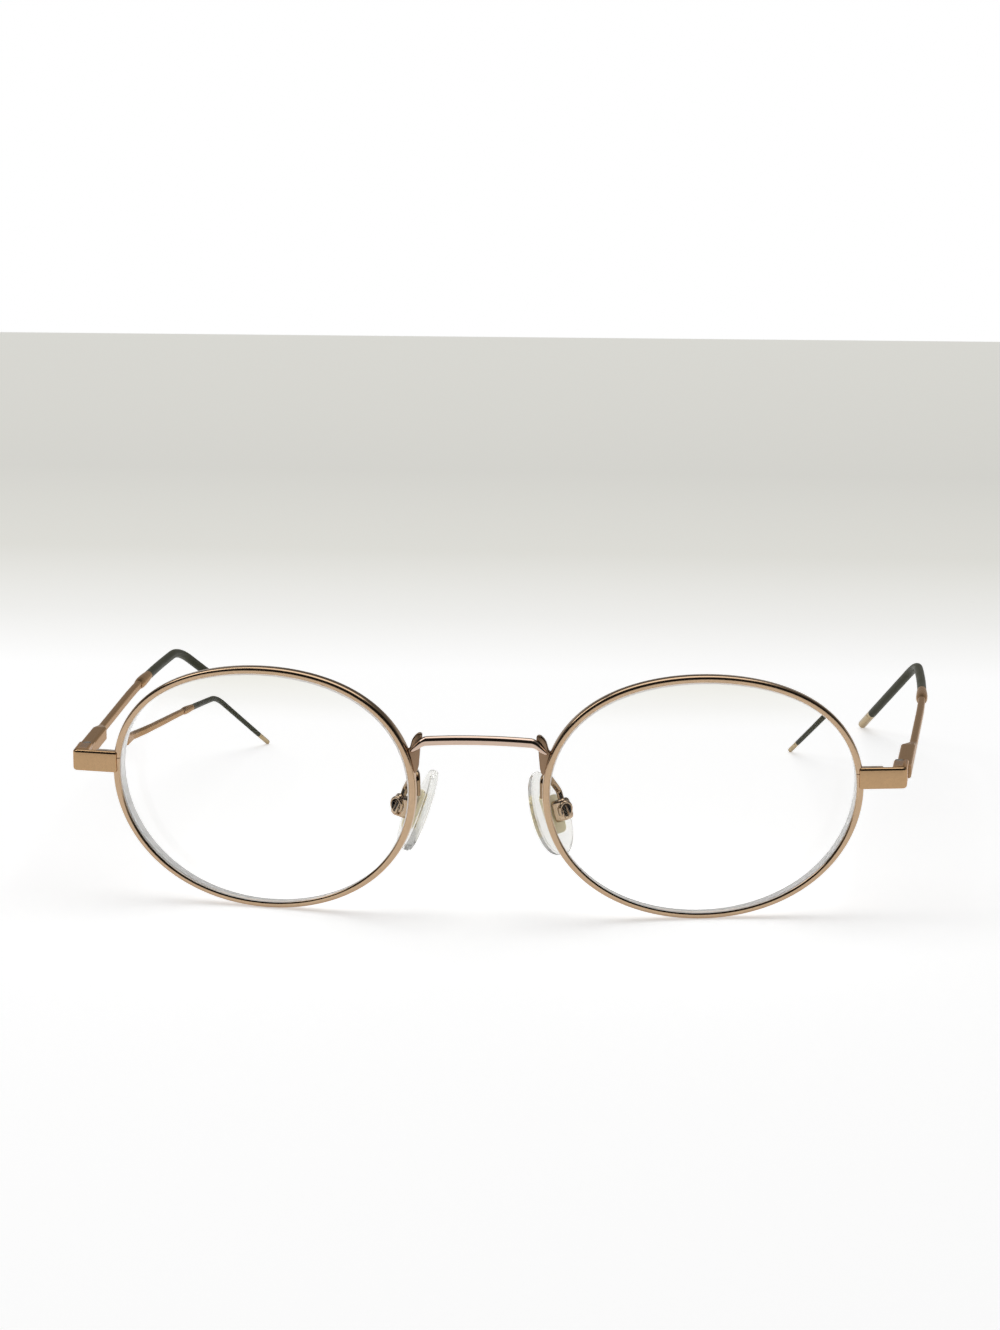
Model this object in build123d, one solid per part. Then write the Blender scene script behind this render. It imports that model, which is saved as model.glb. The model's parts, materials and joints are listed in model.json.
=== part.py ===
"""Oval full rim metal eyeglasses, open, standing on their rims and temple tips.

Millimetres. +X is the wearer's left, +Y runs back along the temples, +Z is up.
The left side is built at +X, and the right side is its mirror image.
"""

import math
import os

from build123d import *

# Rim outline, seen square on from the front
rim_width = 48.2
rim_height = 38.8
shoulder_fullness = 0.36
egg_lift = 0.56
rim_roll_angle = 1.4
outline_points = 24

# How the two rims stand
rim_spacing = 19.0
wrap_angle = 10.3
pantoscopic_angle = 6.0

# Rim wire section
rim_face = 1.05
rim_depth = 1.8
rim_edge_radius = 0.3
groove_depth = 0.45
groove_width = 0.9

# Lenses: thin in the middle and thick at the edge
lens_front_radius = 300.0
lens_back_radius = 84.0
lens_centre_thickness = 1.5
optical_centre_inset = 3.6
lens_gap = 0.03

# Bridge wire, with a flared end brazed to each rim
bridge_diameter = 1.45
bridge_height = 27.95
bridge_arch = 0.52
bridge_bow = 0.5
bridge_flare_width = 1.3
bridge_knob_rise = 0.5
bridge_fin_drop = 3.6
bridge_fin_width = 0.75
bridge_end_depth = 1.3
bridge_edge_radius = 0.3
bridge_edge_break = 0.14

# Endpieces: a front plate that turns the corner into a leg
plate_height = 2.9
plate_level_share = 0.5637
plate_depth = 1.0
plate_overlap = 0.7
plate_proud = 0.35
plate_corner_radius = 0.9
plate_inner_radius = 0.5
plate_edge_radius = 0.28
leg_thickness = 2.25

# Closing blocks behind the plate, drawn together by the rim screw
block_length = 3.2
block_depth = 1.5
block_split = 0.12
block_edge_radius = 0.2
block_bite = 0.25
block_step = 0.2
rim_screw_diameter = 0.8
rim_screw_head_diameter = 1.15
rim_screw_head_height = 0.35
screw_slot_width = 0.2
screw_slot_depth = 0.15

# Temple hinge
hinge_reach = 5.28
hinge_setback = 6.29
barrel_radius = 0.85
fork_length = 3.6
knuckle_height = 0.9
knuckle_gap = 0.05
hinge_screw_diameter = 0.8
hinge_screw_head_diameter = 1.25
hinge_screw_head_height = 0.4
running_clearance = 0.04
slot_clearance = 0.08
butt_gap = 0.08
leaf_length = 4.0

# Temples
temple_splay_angle = 3.9
temple_offset = 1.82
temple_drop = 0.8
head_thickness = 2.3
head_height = 2.2
head_length = 17.3
head_taper = 6.0
head_corner_radius = 0.45
arm_thickness = 1.2
arm_height = 1.5
arm_corner_radius = 0.45
arm_slope_angle = 1.12
straight_length = 52.0
bow_length = 46.8
bow_angle = 4.56
bend_length = 10.65
tip_inward_angle = 13.7
tip_length = 35.2
core_diameter = 0.9

# Temple collars, sleeves and end caps
collar_start = 65.3
collar_length = 10.4
collar_diameter = 1.95
collar_flare_length = 2.6
collar_taper_length = 5.6
sleeve_diameter = 1.6
cap_length = 8.0
cap_diameter = 1.6
cap_ring_length = 1.1
cap_ring_groove = 0.12
cap_end_radius = 0.35
cap_socket_depth = 4.0

# Nose pads
pad_length = 13.0
pad_width = 7.4
pad_thickness = 1.3
pad_egg = 0.5
pad_edge_radius = 0.45
pad_centre_x = 9.7
pad_centre_y = 7.8
pad_centre_z = 15.3
pad_lean_angle = 21.0
left_pad_splay_angle = 29.0
right_pad_splay_angle = 16.0
insert_length = 6.0
insert_width = 3.0
insert_depth = 0.65
insert_proud = 0.3
insert_corner_radius = 0.9
tab_height = 1.7
tab_clearance = 0.06

# Clamp boxes that hold the pads, and their screws
box_height = 3.4
box_width = 2.8
box_depth = 2.0
box_wall = 0.45
box_gap = 0.35
box_edge_radius = 0.15
box_drop = 0.3
pad_screw_diameter = 0.6
pad_screw_head_diameter = 1.1
pad_screw_head_height = 0.25

# Pad arms, bent from wire and brazed to the back of the rims
pad_arm_diameter = 0.95
pad_arm_low = 18.9
pad_arm_high = 22.0
pad_arm_outset = 0.12
pad_arm_bite = 0.2
pad_arm_back = 2.6
pad_arm_radius = 0.9

# The length by which cutting tools run past what they cut
overrun = 4.0

half_width = rim_width / 2
half_height = rim_height / 2
wrap = math.radians(wrap_angle)
tilt = math.radians(pantoscopic_angle)
splay = math.radians(temple_splay_angle)
plate_middle = rim_height * math.cos(tilt) * plate_level_share
plate_base_height = plate_middle - plate_height / 2
plate_top = plate_middle + plate_height / 2
temple_level = plate_middle - temple_drop
leg_outer = leg_thickness - barrel_radius
slot_reach = barrel_radius + slot_clearance
slot_low = plate_base_height + knuckle_height
slot_high = plate_top - knuckle_height
butt_y = barrel_radius + butt_gap
bridge_radius = bridge_diameter / 2
up = Vector(0, 0, 1)


def rim_plane():
    """Return the plane of the left rim's front: x outward, y up and z to the front."""
    outward = Vector(math.cos(wrap), math.sin(wrap), 0)
    rise = Vector(0, -math.sin(tilt), math.cos(tilt))
    rise = (rise - outward * outward.dot(rise)).normalized()
    origin = Vector(
        rim_spacing / 2 + half_width * math.cos(wrap),
        half_width * math.sin(wrap),
        half_height * math.cos(tilt),
    )
    return Plane(origin=origin, x_dir=outward, z_dir=outward.cross(rise))


def rim_y(x, z, depth=0.0):
    """Return where the rim, this deep behind its front face, stands at x and z."""
    plane = rim_plane()
    origin, normal = plane.origin, plane.z_dir
    front = origin.Y - (normal.X * (x - origin.X) + normal.Z * (z - origin.Z)) / normal.Y
    return front - depth / normal.Y


def rim_edge():
    """Return the plan point of the left rim's front at its outer edge, level with the plate."""
    x = rim_spacing / 2 + rim_width * math.cos(wrap)
    return Vector(x, rim_y(x, plate_middle), 0)


def outline_point(angle, inset):
    """Return a point of the rim's oval at this angle, moved inward by the inset."""
    x = half_width * math.cos(angle)
    y = half_height * math.sin(angle)
    y += shoulder_fullness * math.sin(3 * angle) + egg_lift * math.cos(2 * angle)
    slope_x = -half_width * math.sin(angle)
    slope_y = half_height * math.cos(angle)
    slope_y += 3 * shoulder_fullness * math.cos(3 * angle) - 2 * egg_lift * math.sin(2 * angle)
    length = math.hypot(slope_x, slope_y)
    x -= inset * slope_y / length
    y += inset * slope_x / length
    return Vector(x, y).rotate(Axis.Z, -rim_roll_angle)


def oval_face(point_at, inset, height):
    """Return the flat face inside an inset outline, at a height above its plane."""
    angles = [math.tau * i / outline_points for i in range(outline_points)]
    lift = Vector(0, 0, height)
    edge = Spline([point_at(angle, inset) + lift for angle in angles], periodic=True)
    return make_face([edge])


def ringed_solid(point_at, levels):
    """Return the solid through outlines given as pairs of inset and height."""
    return loft([oval_face(point_at, inset, height) for inset, height in levels], ruled=True)


def rounded_levels(low, high, radius):
    """Return the insets and heights of a slab with rounded edges."""
    ease = radius * (1 - math.sqrt(1 / 2))
    lower = [(radius, low), (ease, low + ease), (0, low + radius)]
    return lower + [(0, high - radius), (ease, high - ease), (radius, high)]


def build_whole_rim():
    """Return the left rim before it is split: a wire with a V groove inside."""
    blank = ringed_solid(outline_point, rounded_levels(-rim_depth, 0, rim_edge_radius))
    middle = -rim_depth / 2
    hole = ringed_solid(outline_point, [
        (rim_face, -rim_depth - overrun),
        (rim_face, middle - groove_width / 2),
        (rim_face - groove_depth, middle),
        (rim_face, middle + groove_width / 2),
        (rim_face, overrun),
    ])
    return rim_plane().location * (blank - hole)


def rim_prism():
    """Return all the space inside the left rim's outer outline, before and behind it."""
    return rim_plane().location * extrude(oval_face(outline_point, 0, -overrun * 3), overrun * 6)


def split_rim(rim):
    """Return the rim with the slit that the closing blocks draw shut."""
    slit = Box(overrun, overrun * 3, block_split, align=(Align.MIN, Align.CENTER, Align.CENTER))
    edge = rim_edge()
    return rim - Pos(edge.X - overrun / 2, edge.Y, plate_middle) * slit


def build_lens():
    """Return the left lens: a minus meniscus cut to the oval, bevelled to sit in the groove."""
    edge = rim_face + lens_gap
    middle = -rim_depth / 2
    bevel_half = groove_width / 2 - lens_gap
    reach = half_width + optical_centre_inset
    sag = lens_front_radius - math.sqrt(lens_front_radius ** 2 - reach ** 2)
    pole = middle + bevel_half + sag
    blank = ringed_solid(outline_point, [
        (edge, -overrun * 3),
        (edge, middle - bevel_half),
        (rim_face - groove_depth + lens_gap, middle),
        (edge, middle + bevel_half),
        (edge, overrun),
    ])
    front = lens_ball(lens_front_radius, pole)
    back = lens_ball(lens_back_radius, pole - lens_centre_thickness)
    return rim_plane().location * ((blank & front) - back)


def lens_ball(radius, pole):
    """Return the ball of a lens surface whose middle is at this height."""
    return Pos(-optical_centre_inset, 0, pole - radius) * Rot(90, 0, 0) * Sphere(radius)


def build_bridge(prisms):
    """Return the arched bridge wire with a knob and a fin at each end, coped to the rims."""
    end_x = rim_spacing / 2 - bridge_fin_width
    end_z = bridge_height - bridge_arch
    end_y = rim_y(end_x + bridge_flare_width, end_z, rim_depth / 2)
    left_end = Vector(end_x + bridge_flare_width, end_y, end_z)
    right_end = Vector(-left_end.X, end_y, end_z)
    arc = ThreePointArc(right_end, Vector(0, end_y - bridge_bow, bridge_height), left_end)
    body = sweep(Plane(origin=arc @ 0, z_dir=arc % 0) * Circle(bridge_radius), path=arc)
    top = end_z + bridge_radius
    base = end_z - bridge_radius
    far_x = end_x + bridge_flare_width * 2
    outline = Polyline(
        Vector(end_x - bridge_fin_width, end_z),
        Vector(end_x - bridge_fin_width / 2, top),
        Vector(end_x + bridge_fin_width / 2, top + bridge_knob_rise),
        Vector(end_x + bridge_flare_width, top + bridge_knob_rise / 2),
        Vector(far_x, base),
        Vector(end_x + bridge_flare_width, base - bridge_fin_drop),
        Vector(end_x + bridge_fin_width / 4, base - bridge_fin_drop * 2 / 3),
        Vector(end_x, base),
        close=True,
    )
    profile = make_face(outline)
    corners = [v for v in profile.vertices() if v.X < end_x + bridge_fin_width]
    profile = fillet(corners, bridge_edge_radius)
    fin = extrude(profile, bridge_end_depth)
    fin = Pos(0, end_y + bridge_end_depth / 2, 0) * Rot(90, 0, 0) * fin
    fin = chamfer(fin.faces().filter_by(Axis.Y).edges(), bridge_edge_break)
    body = body + fin + mirror(fin, about=Plane.YZ)
    for prism in prisms:
        body -= prism
    return body


def hinge_place():
    """Return the left hinge's frame: on its axis, x outward and y back along the temple."""
    edge = rim_edge()
    return Pos(edge.X + hinge_reach, edge.Y + hinge_setback, 0) * Rot(0, 0, -temple_splay_angle)


def place_point(place, x, y):
    """Return a plan point of a frame as a vector."""
    return (place * Pos(x, y, 0)).position


def meet(point, direction, other, other_direction):
    """Return where two plan lines cross."""
    cross = direction.X * other_direction.Y - direction.Y * other_direction.X
    gap = other - point
    run = (gap.X * other_direction.Y - gap.Y * other_direction.X) / cross
    return point + direction * run


def plate_start():
    """Return the plan point at the inner end of the plate's front face."""
    start_x = rim_edge().X - plate_overlap * math.cos(wrap)
    return Vector(start_x, rim_y(start_x, plate_middle, -plate_proud), 0)


def prism(face, low, high):
    """Return the upright solid on a plan face between two heights."""
    return Pos(0, 0, low) * extrude(face, high - low)


def round_upright(solid, radius):
    """Return the solid with its top and bottom edges rounded."""
    flats = solid.faces().filter_by(Axis.Z)
    return fillet([edge for face in flats for edge in face.edges()], radius)


def build_corner():
    """Return the endpiece and fork as one L, which is cut apart at the brazed joint."""
    hinge = hinge_place()
    along = Vector(math.cos(wrap), math.sin(wrap), 0)
    back = Vector(-math.sin(wrap), math.cos(wrap), 0)
    leg = Vector(math.sin(splay), math.cos(splay), 0)
    start = plate_start()
    behind = start + back * plate_depth
    outer_corner = meet(start, along, place_point(hinge, leg_outer, 0), leg)
    inner_corner = meet(behind, along, place_point(hinge, -barrel_radius, 0), leg)
    rear_outer = place_point(hinge, leg_outer, barrel_radius)
    rear_axis = place_point(hinge, 0, barrel_radius)
    half_turn = barrel_radius * math.sqrt(1 / 2)
    rear_round = place_point(hinge, -half_turn, half_turn)
    inner_end = place_point(hinge, -barrel_radius, 0)
    plan = make_face([
        Line(start, outer_corner),
        Line(outer_corner, rear_outer),
        Line(rear_outer, rear_axis),
        ThreePointArc(rear_axis, rear_round, inner_end),
        Line(inner_end, inner_corner),
        Line(inner_corner, behind),
        Line(behind, start),
    ])
    corners = plan.vertices()
    plan = fillet(corners.sort_by_distance(outer_corner)[0], plate_corner_radius)
    plan = fillet(plan.vertices().sort_by_distance(inner_corner)[0], plate_inner_radius)
    return round_upright(prism(plan, plate_base_height, plate_top), plate_edge_radius)


def fork_space():
    """Return the space of the front hinge leaf inside the leg."""
    width = barrel_radius + slot_reach
    length = fork_length + overrun
    plan = Pos(slot_reach, -fork_length) * Rectangle(width + overrun, length, align=(Align.MAX, Align.MIN))
    return hinge_place() * prism(plan, plate_base_height - overrun, plate_top + overrun)


def upright_cylinder(radius, low, high):
    """Return a cylinder on the hinge axis between two heights."""
    height = high - low
    align = (Align.CENTER, Align.CENTER, Align.MIN)
    return hinge_place() * Pos(0, 0, low) * Cylinder(radius, height, align=align)


def hinge_screw_cut():
    """Return the screw's own space in the fork: a shank and a sunk head."""
    shank = upright_cylinder(hinge_screw_diameter / 2, plate_base_height - overrun, plate_top + overrun)
    head_low = plate_top - hinge_screw_head_height
    return shank + upright_cylinder(hinge_screw_head_diameter / 2, head_low, plate_top + overrun)


def build_endpiece(corner, rim):
    """Return the endpiece: the L without its fork, coped over the rim."""
    return corner - fork_space() - rim


def build_fork(corner):
    """Return the front hinge leaf: a fork of two knuckles."""
    fork = corner & fork_space()
    align = (Align.MAX, Align.MIN, Align.MIN)
    slot = Box(slot_reach + overrun, slot_reach + overrun, slot_high - slot_low, align=align)
    fork -= hinge_place() * Pos(slot_reach, -slot_reach, slot_low) * slot
    return fork - hinge_screw_cut()


def build_hinge_screw():
    """Return the hinge screw: shank, sunk head and driver slot."""
    head_low = plate_top - hinge_screw_head_height
    screw = upright_cylinder(hinge_screw_diameter / 2, plate_base_height, head_low)
    screw += upright_cylinder(hinge_screw_head_diameter / 2, head_low, plate_top)
    align = (Align.CENTER, Align.CENTER, Align.MAX)
    cut = Box(hinge_screw_head_diameter + overrun, screw_slot_width, screw_slot_depth, align=align)
    return screw - hinge_place() * Pos(0, 0, plate_top) * cut


def block_place():
    """Return the frame of the closing blocks: x outward along the plate, y back."""
    start = plate_start()
    return Pos(start.X, start.Y, 0) * Rot(0, 0, wrap_angle)


def rim_screw_spot():
    """Return the plan place of the rim screw in the blocks' frame."""
    x = plate_overlap + (block_length - rim_screw_head_diameter / 2) * 2 / 3
    return x, plate_depth + block_depth / 2


def block_cylinder(radius, low, high):
    """Return a cylinder on the rim screw's axis between two heights."""
    x, y = rim_screw_spot()
    align = (Align.CENTER, Align.CENTER, Align.MIN)
    return block_place() * Pos(x, y, low) * Cylinder(radius, high - low, align=align)


def build_blocks(rim):
    """Return the upper and lower closing blocks, coped to the rim and bored for its screw."""
    align = (Align.MIN, Align.MIN)
    plan = Rectangle(block_length + block_bite, block_depth, align=align)
    plan = Pos(plate_overlap - block_bite, plate_depth) * plan
    outer = plan.vertices().sort_by(Axis.X)[-2:]
    plan = block_place() * fillet(outer.sort_by(Axis.Y)[-1], block_edge_radius)
    upper = prism(plan, plate_middle + block_split / 2, plate_top - block_step)
    lower = prism(plan, plate_base_height + block_step, plate_middle - block_split / 2)
    radius = rim_screw_diameter / 2
    bore = block_cylinder(radius, plate_base_height - overrun, plate_top + overrun)
    base = plate_base_height + block_step
    sink = block_cylinder(rim_screw_head_diameter / 2, base - overrun, base + rim_screw_head_height)
    return upper - rim - bore, lower - rim - bore - sink


def build_rim_screw():
    """Return the rim screw, with its head underneath."""
    base = plate_base_height + block_step
    screw = block_cylinder(rim_screw_diameter / 2, base + rim_screw_head_height, plate_top - block_step)
    screw += block_cylinder(rim_screw_head_diameter / 2, base, base + rim_screw_head_height)
    x, y = rim_screw_spot()
    align = (Align.CENTER, Align.CENTER, Align.MIN)
    cut = Box(rim_screw_head_diameter + overrun, screw_slot_width, screw_slot_depth, align=align)
    return screw - block_place() * Pos(x, y, base) * cut


def temple_place():
    """Return the temple's frame: y back along the arm and z up, at the hinge."""
    return hinge_place() * Pos(0, 0, temple_level) * Rot(-arm_slope_angle, 0, 0)


def arm_axis_x():
    """Return how far the arm's centreline is outside the hinge axis."""
    return temple_offset - arm_thickness / 2


class Bend:
    """A circular stretch of the temple's centreline."""

    def __init__(self, start, direction, end_direction, length):
        """Turn evenly from one direction to the other over the length."""
        self.start = start
        self.direction = direction
        self.length = length
        self.pivot = direction.cross(end_direction).normalized()
        self.turn = direction.get_angle(end_direction)
        self.radius = length / math.radians(self.turn)

    def at(self, run):
        """Return the point and direction this far along the bend."""
        side = self.pivot.cross(self.direction) * self.radius
        turn = self.turn * run / self.length
        axis = Axis((0, 0, 0), self.pivot)
        point = self.start + side - side.rotate(axis, turn)
        return point, self.direction.rotate(axis, turn)

    def edge(self, run_start, run_end):
        """Return the arc between two runs."""
        middle = (run_start + run_end) / 2
        points = [self.at(run)[0] for run in (run_start, middle, run_end)]
        return ThreePointArc(*points)


def aim(inward, drop):
    """Return the direction turned inward and dropped by these angles."""
    inward, drop = math.radians(inward), math.radians(drop)
    return Vector(-math.sin(inward) * math.cos(drop), math.cos(inward) * math.cos(drop), -math.sin(drop))


def temple_bends(tip_drop):
    """Return the long bow of the arm and the ear bend that follows it."""
    straight = aim(0, 0)
    bowed = aim(bow_angle, 0)
    bow = Bend(Vector(arm_axis_x(), straight_length, 0), straight, bowed, bow_length)
    tip = aim(bow_angle + tip_inward_angle, tip_drop)
    bend = Bend(bow.at(bow_length)[0], bowed, tip, bend_length)
    return bow, bend


def cap_lowest(tip_drop):
    """Return the height of the lowest point of the end cap for an ear bend of this drop."""
    bend = temple_bends(tip_drop)[1]
    start, direction = bend.at(bend_length)
    centre = start + direction * (tip_length - cap_end_radius)
    place = temple_place()
    low = (place * Pos(*centre)).position.Z
    further = (place * Pos(*(centre + direction))).position.Z
    level_share = math.sqrt(1 - (further - low) ** 2)
    return low - (cap_diameter / 2 - cap_end_radius) * level_share - cap_end_radius


def settle_tip(ground):
    """Return the drop of the ear bend at which the end cap touches the ground."""
    least, most = 0.0, 80.0
    for _ in range(outline_points):
        middle = (least + most) / 2
        if cap_lowest(middle) > ground:
            least = middle
        else:
            most = middle
    return (least + most) / 2


def section_plane(point, direction):
    """Return the plane square to the centreline, with x level."""
    return Plane(origin=point, x_dir=direction.cross(up), z_dir=direction)


def wire_along(edges, radius):
    """Return a round wire along edges that join end to end."""
    path = Wire(edges)
    start = Plane(origin=path @ 0, z_dir=path % 0)
    return sweep(start * Circle(radius), path=path)


def tip_edges(bow, bend, start, end):
    """Return the centreline from one distance to another behind the start of the bow."""
    point, direction = bend.at(bend_length)
    straight_run = end - bow_length - bend_length
    edges = [bow.edge(start, bow_length), bend.edge(0, bend_length)]
    edges.append(Line(point, point + direction * straight_run))
    return edges


def arm_section(thickness, height, radius, y):
    """Return a rounded section of the arm, flush outside and underneath."""
    face = fillet(Rectangle(thickness, height).vertices(), radius)
    centre = Vector(temple_offset - thickness / 2, y, (height - arm_height) / 2)
    return Plane(origin=centre, x_dir=(1, 0, 0), z_dir=(0, 1, 0)) * face


def build_leaf():
    """Return the rear hinge leaf: a knuckle on the screw and a tongue let into the temple."""
    low = slot_low + knuckle_gap
    high = slot_high - knuckle_gap
    inner = head_thickness - temple_offset
    length = butt_y + leaf_length
    tongue = Rectangle(inner + barrel_radius, length, align=(Align.MIN, Align.MIN))
    plan = Circle(barrel_radius) + Pos(-inner, 0) * tongue
    leaf = hinge_place() * prism(plan, low, high)
    return leaf - upright_cylinder(hinge_screw_diameter / 2 + running_clearance, low - overrun, high + overrun)


def build_temple(bow, bend, leaf_space):
    """Return the temple: head, tapering arm and the core wire that runs on to the tip."""
    head = (head_thickness, head_height, head_corner_radius)
    arm = (arm_thickness, arm_height, arm_corner_radius)
    taper_end = head_length + head_taper
    body = extrude(arm_section(*head, 0), head_length, dir=(0, 1, 0))
    body += loft([arm_section(*head, head_length), arm_section(*arm, taper_end)])
    body += extrude(arm_section(*arm, taper_end), straight_length - taper_end, dir=(0, 1, 0))
    run = collar_start - straight_length
    body += sweep(arm_section(*arm, straight_length), path=bow.edge(0, run))
    core_end = bow_length + bend_length + tip_length - cap_length + cap_socket_depth
    body += wire_along(tip_edges(bow, bend, run, core_end), core_diameter / 2)
    front = Box(rim_width, overrun + butt_y, overrun * 3, align=(Align.CENTER, Align.MAX, Align.CENTER))
    front = hinge_place() * Pos(0, butt_y, temple_level) * front
    return temple_place() * body - front - leaf_space


def build_collar(bow):
    """Return the spindle collar that covers the end of the sleeve."""
    run = collar_start - straight_length
    flat = collar_length - collar_flare_length - collar_taper_length
    stations = [
        (0, arm_height),
        (collar_flare_length / 2, (arm_height + collar_diameter * 2) / 3),
        (collar_flare_length, collar_diameter),
        (collar_flare_length + flat, collar_diameter),
        (collar_length - collar_taper_length / 2, (sleeve_diameter + collar_diameter * 2) / 3),
        (collar_length, sleeve_diameter),
    ]
    sections = []
    for distance, diameter in stations:
        point, direction = bow.at(run + distance)
        sections.append(section_plane(point, direction) * Circle(diameter / 2))
    body = loft(sections, ruled=True)
    body -= wire_along([bow.edge(run, run + collar_length)], core_diameter / 2)
    return temple_place() * body


def build_sleeve(bow, bend):
    """Return the plastic sleeve over the core, from the collar to the end cap."""
    start = collar_start + collar_length - straight_length
    end = bow_length + bend_length + tip_length - cap_length
    edges = tip_edges(bow, bend, start, end)
    body = wire_along(edges, sleeve_diameter / 2) - wire_along(edges, core_diameter / 2)
    return temple_place() * body


def build_cap(bend):
    """Return the metal end cap: a socket for the core, a ring and a rounded end."""
    point, direction = bend.at(bend_length)
    radius = cap_diameter / 2
    profile = Polyline(
        Vector(0, cap_socket_depth),
        Vector(core_diameter / 2, cap_socket_depth),
        Vector(core_diameter / 2, 0),
        Vector(radius, 0),
        Vector(radius, cap_ring_length),
        Vector(radius - cap_ring_groove, cap_ring_length + cap_ring_groove),
        Vector(radius, cap_ring_length + cap_ring_groove * 2),
        Vector(radius, cap_length),
        Vector(0, cap_length),
        close=True,
    )
    face = make_face(profile)
    end = face.vertices().sort_by_distance(Vector(radius, cap_length))[0]
    face = fillet(end, cap_end_radius)
    body = revolve(face, Axis.Y)
    body = Rot(90, 0, 0) * body
    start = point + direction * (tip_length - cap_length)
    return temple_place() * Plane(origin=start, x_dir=direction.cross(up), z_dir=direction).location * body


def pad_place(splay_angle):
    """Return the left pad's frame: x away from the nose, y back across, z up the pad."""
    centre = Pos(pad_centre_x, pad_centre_y, pad_centre_z)
    return centre * Rot(0, 0, -splay_angle) * Rot(0, -pad_lean_angle, 0)


def box_centre_x():
    """Return how far the clamp box's centre is outside the pad's middle."""
    return pad_thickness / 2 + insert_proud + box_gap + box_width / 2


def pad_point(angle, inset):
    """Return a point of the pad's oval, which is fuller at its lower end."""
    long_axis = pad_length / 2 - inset
    wide_axis = pad_width / 2 - inset - pad_egg * math.sin(angle)
    return Vector(wide_axis * math.cos(angle), long_axis * math.sin(angle))


def build_pad(place):
    """Return the clear nose pad, with a recess for its insert."""
    half = pad_thickness / 2
    pad = Plane.YZ.location * ringed_solid(pad_point, rounded_levels(-half, half, pad_edge_radius))
    recess = insert_plate(half - insert_depth, half + overrun)
    return place * (pad - recess)


def insert_plate(low, high):
    """Return the insert's oblong plate between two depths."""
    face = fillet(Rectangle(insert_width, insert_length).vertices(), insert_corner_radius)
    return Pos(low, 0, 0) * extrude(Plane.YZ * face, high - low, dir=(1, 0, 0))


def pad_rod(place, radius, start, end):
    """Return a cylinder on the pad screw's axis between two places across the box."""
    align = (Align.CENTER, Align.CENTER, Align.MIN)
    rod = Rot(-90, 0, 0) * Cylinder(radius, end - start, align=align)
    return place * Pos(box_centre_x(), start, 0) * rod


def build_insert(place):
    """Return the pad's insert: a plate moulded into it and a tab for the screw."""
    half = pad_thickness / 2
    plate = insert_plate(half - insert_depth, half + insert_proud)
    width = box_depth - box_wall * 2 - tab_clearance * 2
    reach = box_centre_x() - half
    align = (Align.MIN, Align.CENTER, Align.CENTER)
    tab = Pos(half, 0, 0) * Box(reach, width, tab_height, align=align)
    insert = place * (plate + tab)
    insert += pad_rod(place, tab_height / 2, -width / 2, width / 2)
    clear = pad_screw_diameter / 2 + running_clearance
    return insert - pad_rod(place, clear, -width, width)


def box_low_x():
    """Return where the clamp box's open side is, out from the pad's middle."""
    return box_centre_x() - box_width / 2


def build_box(place):
    """Return the clamp box: a U with its open side to the pad."""
    align = (Align.MIN, Align.CENTER, Align.CENTER)
    body = Pos(box_low_x(), 0, box_drop) * Box(box_width, box_depth, box_height, align=align)
    body = fillet(body.edges().filter_by(Axis.Y), box_edge_radius)
    inside = box_depth - box_wall * 2
    room = Pos(box_low_x() - overrun, 0, box_drop) * Box(
        box_width - box_wall + overrun, inside, box_height + overrun, align=align
    )
    body = place * (body - room)
    half = box_depth / 2
    body -= pad_rod(place, pad_screw_diameter / 2, -half - overrun, half + overrun)
    sunk = -half + pad_screw_head_height
    return body - pad_rod(place, pad_screw_head_diameter / 2, -half - overrun, sunk)


def build_pad_screw(place):
    """Return the pad screw, with its head to the front."""
    half = box_depth / 2
    sunk = -half + pad_screw_head_height
    screw = pad_rod(place, pad_screw_diameter / 2, sunk, half)
    screw += pad_rod(place, pad_screw_head_diameter / 2, -half, sunk)
    cut = Box(pad_screw_head_diameter + overrun, screw_slot_depth * 2, screw_slot_width)
    return screw - place * Pos(box_centre_x(), -half, 0) * cut


def build_pad_arm(place, rim, box):
    """Return the gooseneck: up the back of the rim, over, and down to the clamp box."""
    radius = pad_arm_diameter / 2
    x = rim_spacing / 2 - pad_arm_outset
    low_y = rim_y(x, pad_arm_low, rim_depth) + radius - pad_arm_bite
    high_y = rim_y(x, pad_arm_high, rim_depth) + radius - pad_arm_bite
    roof = (place * Pos(box_centre_x(), 0, box_drop + box_height / 2)).position
    inside = (place * Pos(box_centre_x(), 0, box_drop + (box_height - box_wall) / 2)).position
    lift = (roof - inside).normalized() * (pad_arm_high - roof.Z)
    path = FilletPolyline(
        Vector(x, low_y, pad_arm_low),
        Vector(x, high_y, pad_arm_high),
        Vector(x + radius, high_y + pad_arm_back, pad_arm_high),
        roof + lift / 3,
        inside,
        radius=pad_arm_radius,
    )
    start = Plane(origin=path @ 0, z_dir=path % 0)
    arm = sweep(start * Circle(radius), path=path)
    return arm - rim - box


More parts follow.
